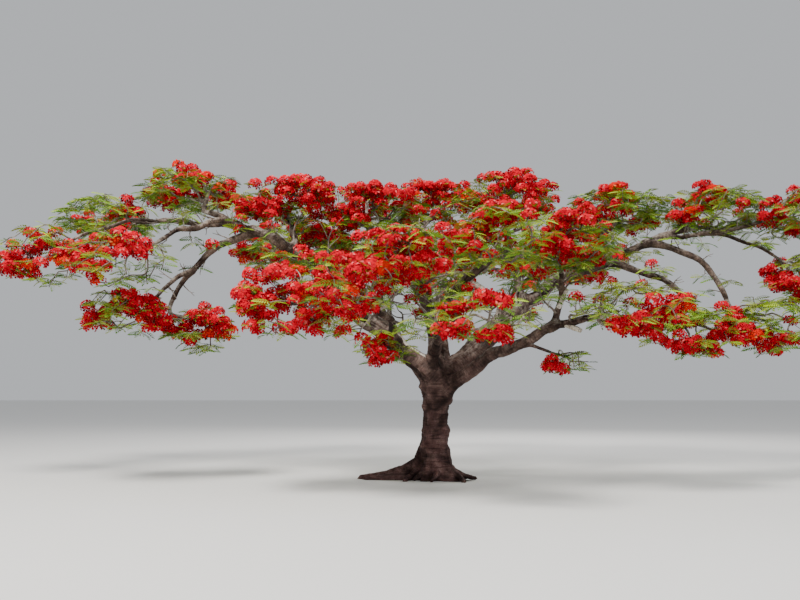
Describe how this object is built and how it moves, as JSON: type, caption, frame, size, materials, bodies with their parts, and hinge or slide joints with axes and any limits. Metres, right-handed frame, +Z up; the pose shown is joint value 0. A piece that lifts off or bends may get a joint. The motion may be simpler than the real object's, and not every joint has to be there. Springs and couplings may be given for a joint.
{
  "type": "flame tree",
  "caption": "Wide umbrella-crowned flowering tree on a short flared trunk, with arching boughs, feathery leaf sprays and scarlet flower heads.",
  "frame": {"origin": "the middle of the flat cut under the trunk, at ground level", "axes": "+Z up the trunk, +X to the right of the front view along the crown's widest spread, +Y away from the front"},
  "size_m": [16.2354, 11.1162, 6.1544],
  "materials": {
    "bark": "rough grey-brown bark with faint rings",
    "foliage": "matte lime to mid-green leaflets",
    "twig": "pale grey twig bark",
    "blossom": "soft scarlet petals"
  },
  "bodies": {
    "root": {"trunk": "bark", "bough_left_arch": "bark", "bough_right_shoulder": "bark", "bough_right_lower": "bark", "bough_centre_left_crest": "bark", "bough_centre_right": "bark", "bough_back_left": "bark", "bough_back_right": "bark", "bough_back_middle": "bark", "bough_low_left": "bark", "bough_left_droop": "bark", "bough_left_middle": "bark", "bough_left_upper": "bark", "bough_far_left": "bark", "bough_left_skirt": "bark", "bough_left_crest": "bark", "bough_left_inner": "bark", "bough_left_front_skirt": "bark", "bough_front_left": "bark", "bough_centre_top": "bark", "bough_front_middle": "bark", "bough_front_low": "bark", "bough_centre_right_crest": "bark", "bough_right_inner": "bark", "bough_right_droop": "bark", "bough_right_crest": "bark", "bough_right_low": "bark", "bough_right_skirt": "bark", "bough_far_right_top": "bark", "bough_far_right": "bark", "mass_far_left": "foliage", "mass_left_upper": "foliage", "mass_left_middle": "foliage", "mass_left_arch": "foliage", "mass_left_skirt": "foliage", "mass_left_droop": "foliage", "mass_left_crest": "foliage", "mass_left_inner": "foliage", "mass_left_front_skirt": "foliage", "mass_front_left": "foliage", "mass_low_left": "foliage", "mass_centre_left_crest": "foliage", "mass_centre_top": "foliage", "mass_centre_right_crest": "foliage", "mass_centre_right": "foliage", "mass_front_middle": "foliage", "mass_front_low": "foliage", "mass_right_inner": "foliage", "mass_right_crest": "foliage", "mass_right_shoulder": "foliage", "mass_far_right_top": "foliage", "mass_right_lower": "foliage", "mass_right_low": "foliage", "mass_right_skirt": "foliage", "mass_far_right": "foliage", "mass_right_droop": "foliage", "mass_back_left": "foliage", "mass_back_middle": "foliage", "mass_back_right": "foliage"}
  },
  "joints": []
}
